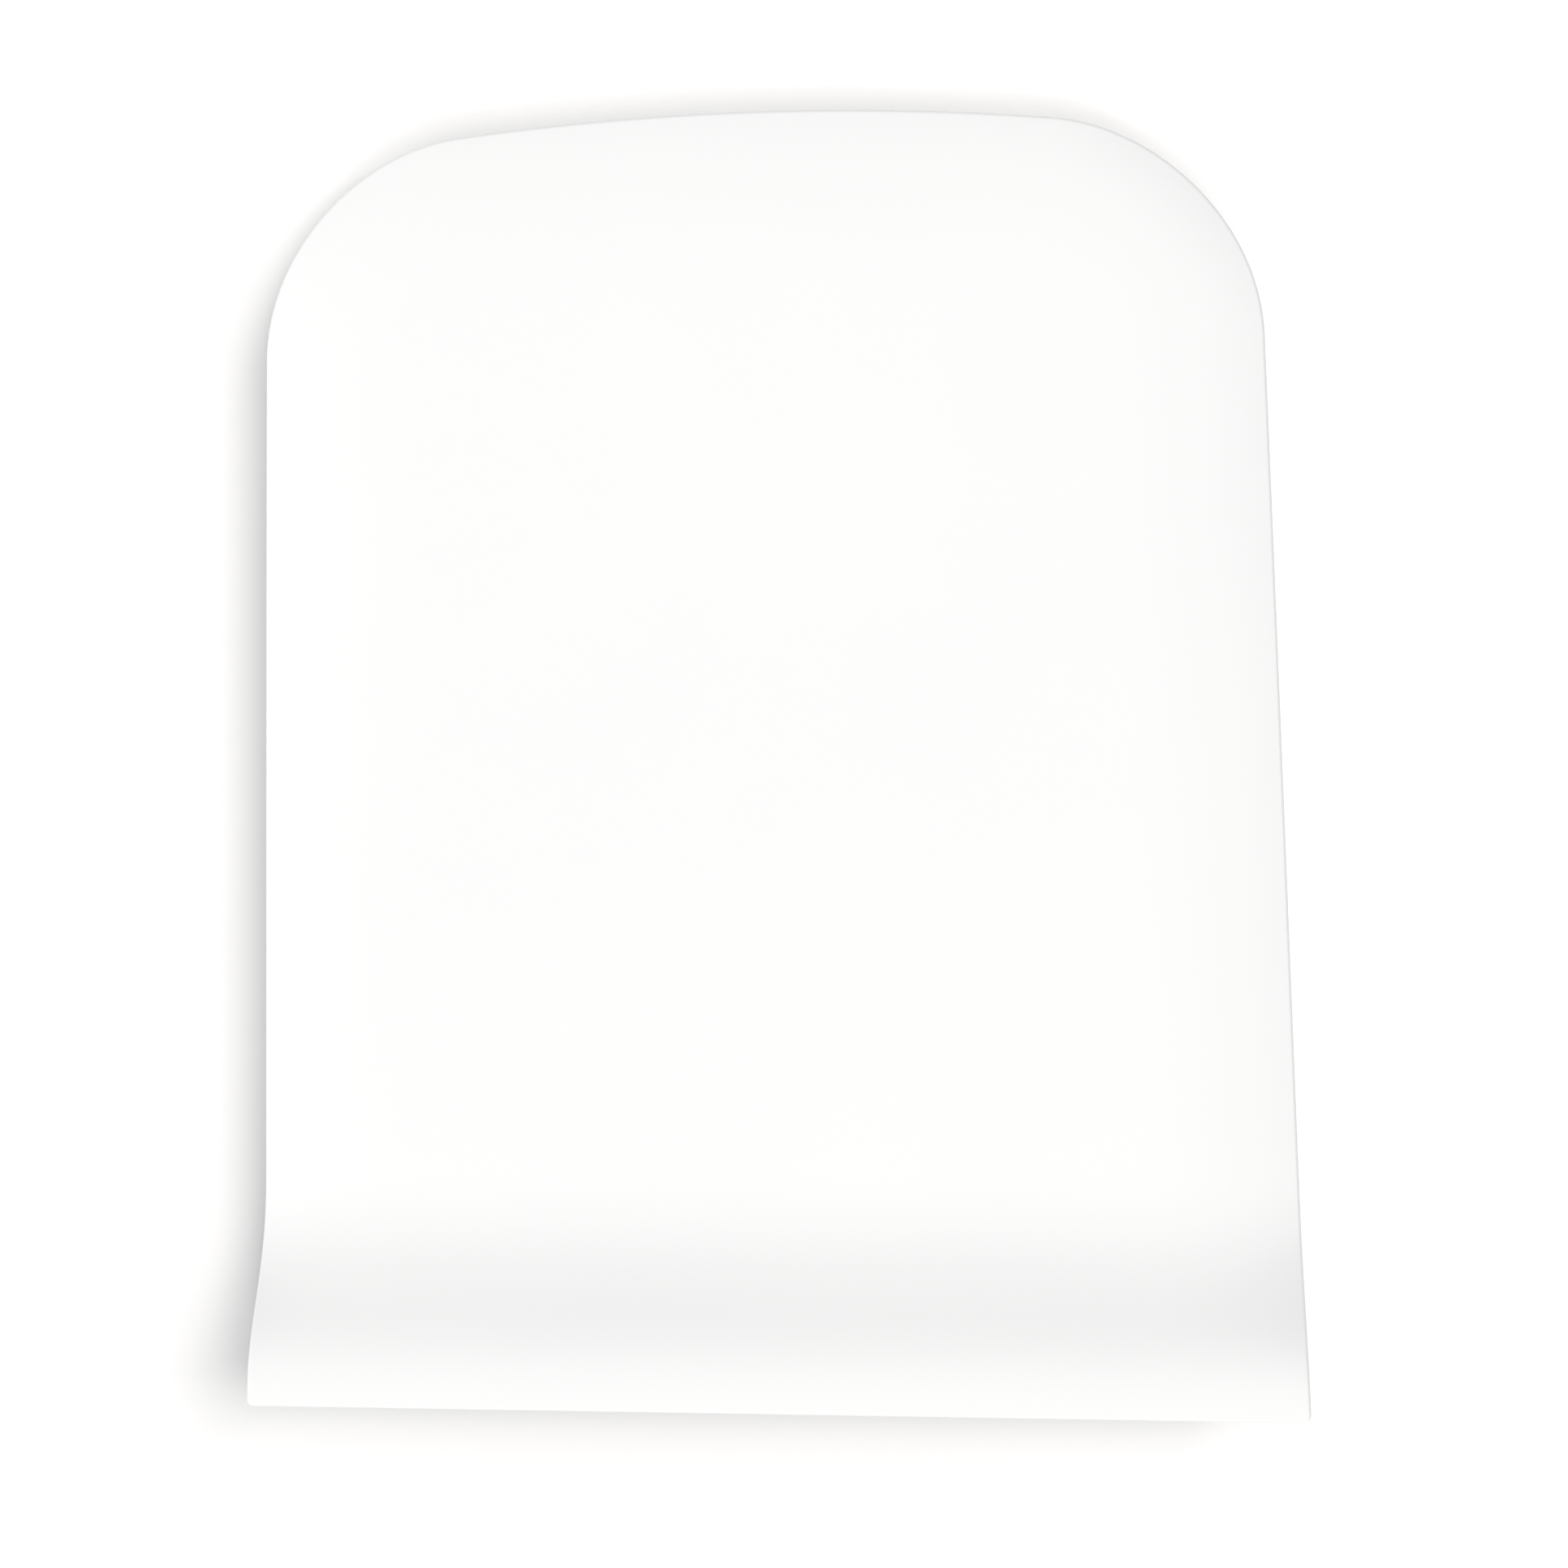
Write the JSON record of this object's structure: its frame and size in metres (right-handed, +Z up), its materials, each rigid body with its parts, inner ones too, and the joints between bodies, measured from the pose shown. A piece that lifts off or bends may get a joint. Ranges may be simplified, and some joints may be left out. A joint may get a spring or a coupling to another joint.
{
  "type": "bench scraper",
  "caption": "Flat hand-held bench scraper with a smooth white cover, a rounded grip end, a turned-up lip with a steel scraping blade under it, and a soft grip pad underneath.",
  "frame": {"origin": "centre of the footprint on the surface the scraper rests on", "axes": "+Z up out of the white cover, +Y from the scraping edge to the rounded end, X across"},
  "size_m": [0.104, 0.1254, 0.0162],
  "materials": {
    "cover_white": "satin gloss",
    "frame_white": "moulded, matte",
    "blade_steel": "fine brushed",
    "clamp_steel": "brushed",
    "base_white": "fine texture",
    "seal_rubber": "matte",
    "pad_rubber": "matte, soft touch",
    "screw_steel": "plain"
  },
  "bodies": {
    "root": {"top_cover": "cover_white", "core_frame": "frame_white", "blade": "blade_steel", "blade_clamp_bar": "clamp_steel", "base_shell": "base_white", "rim_seal": "seal_rubber", "grip_pad": "pad_rubber", "shell_screw_1": "screw_steel", "shell_screw_2": "screw_steel", "shell_screw_3": "screw_steel", "shell_screw_4": "screw_steel", "shell_screw_5": "screw_steel", "shell_screw_6": "screw_steel", "blade_screw_1": "screw_steel", "blade_screw_2": "screw_steel", "blade_screw_3": "screw_steel", "blade_screw_4": "screw_steel"}
  },
  "joints": []
}
